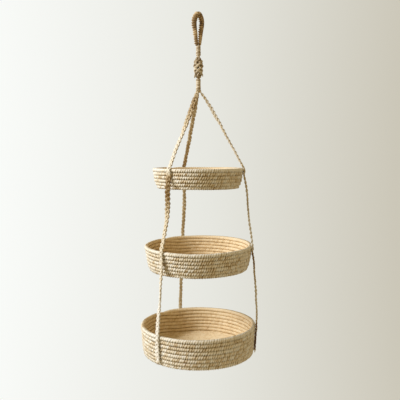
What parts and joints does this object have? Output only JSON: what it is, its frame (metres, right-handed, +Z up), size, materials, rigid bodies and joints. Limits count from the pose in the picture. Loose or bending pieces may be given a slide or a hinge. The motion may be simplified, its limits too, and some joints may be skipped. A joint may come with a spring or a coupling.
{
  "type": "hanging basket",
  "caption": "Tiered hanging produce basket: round coiled-straw trays on plaited straps that gather in a whipped neck and a knot below a cord-covered hanging loop.",
  "frame": {"origin": "inner top of the hanging loop, on the stack's axis, where the hook bears", "axes": "+Z up along the stack; the loop opens along Y; one strap is at +Y, the others about 120 degrees to each side"},
  "size_m": [0.3168, 0.3237, 0.9213],
  "materials": {
    "coiled_palm": "coiled palm-leaf bundles sewn with palm strip, natural pale straw, matt with a slight sheen",
    "plaited_strap": "flat three-strand plait of twisted palm fibre, matt",
    "whipping_strip": "pale palm strip wound tight",
    "fibre_cord": "twisted fibre cord, matt",
    "hitched_cord": "brown cord hitched in close ridges round the loop",
    "lashing_cord": "thin twisted palm twine, matt"
  },
  "bodies": {
    "hanging_loop": {"loop_core": "fibre_cord", "loop_cord_cover": "hitched_cord"},
    "upper_neck": {"upper_neck_core": "fibre_cord", "upper_whipping": "whipping_strip"},
    "knot": {"knot": "fibre_cord", "knot_tails": "fibre_cord"},
    "lower_neck": {"lower_neck_core": "fibre_cord", "lower_whipping": "whipping_strip", "top_back_strap_span": "plaited_strap", "top_left_strap_span": "plaited_strap", "top_right_strap_span": "plaited_strap"},
    "top_basket": {"top_rim": "coiled_palm", "top_wall": "coiled_palm", "top_base": "coiled_palm", "top_back_strap_sewn": "plaited_strap", "top_left_strap_sewn": "plaited_strap", "top_right_strap_sewn": "plaited_strap", "top_lashings": "lashing_cord", "middle_back_strap_span": "plaited_strap", "middle_left_strap_span": "plaited_strap", "middle_right_strap_span": "plaited_strap"},
    "middle_basket": {"middle_rim": "coiled_palm", "middle_wall": "coiled_palm", "middle_base": "coiled_palm", "middle_back_strap_sewn": "plaited_strap", "middle_left_strap_sewn": "plaited_strap", "middle_right_strap_sewn": "plaited_strap", "middle_lashings": "lashing_cord", "bottom_back_strap_span": "plaited_strap", "bottom_left_strap_span": "plaited_strap", "bottom_right_strap_span": "plaited_strap"},
    "bottom_basket": {"bottom_rim": "coiled_palm", "bottom_wall": "coiled_palm", "bottom_base": "coiled_palm", "bottom_back_strap_sewn": "plaited_strap", "bottom_left_strap_sewn": "plaited_strap", "bottom_right_strap_sewn": "plaited_strap", "bottom_lashings": "lashing_cord", "strap_ends": "plaited_strap"}
  },
  "joints": [
    {"name": "stack_spin", "type": "hinge", "parent": "hanging_loop", "child": "upper_neck", "pos_m": [0, 0, -0.0761], "axis": [0, 0, 1], "range_deg": [-180, 180]},
    {"name": "swing_front_back", "type": "hinge", "parent": "upper_neck", "child": "knot", "pos_m": [0, 0, -0.1073], "axis": [1, 0, 0], "range_deg": [-20, 20]},
    {"name": "swing_side", "type": "hinge", "parent": "knot", "child": "lower_neck", "pos_m": [0, 0, -0.1608], "axis": [0, 1, 0], "range_deg": [-20, 20]},
    {"name": "top_lift", "type": "slide", "parent": "lower_neck", "child": "top_basket", "axis": [0, 0, 1], "range_m": [0, 0.18], "deforming": ["top_back_strap_span", "top_left_strap_span", "top_right_strap_span"]},
    {"name": "middle_lift", "type": "slide", "parent": "top_basket", "child": "middle_basket", "axis": [0, 0, 1], "range_m": [0, 0.207], "deforming": ["middle_back_strap_span", "middle_left_strap_span", "middle_right_strap_span"]},
    {"name": "bottom_lift", "type": "slide", "parent": "middle_basket", "child": "bottom_basket", "axis": [0, 0, 1], "range_m": [0, 0.2], "deforming": ["bottom_back_strap_span", "bottom_left_strap_span", "bottom_right_strap_span"]}
  ]
}
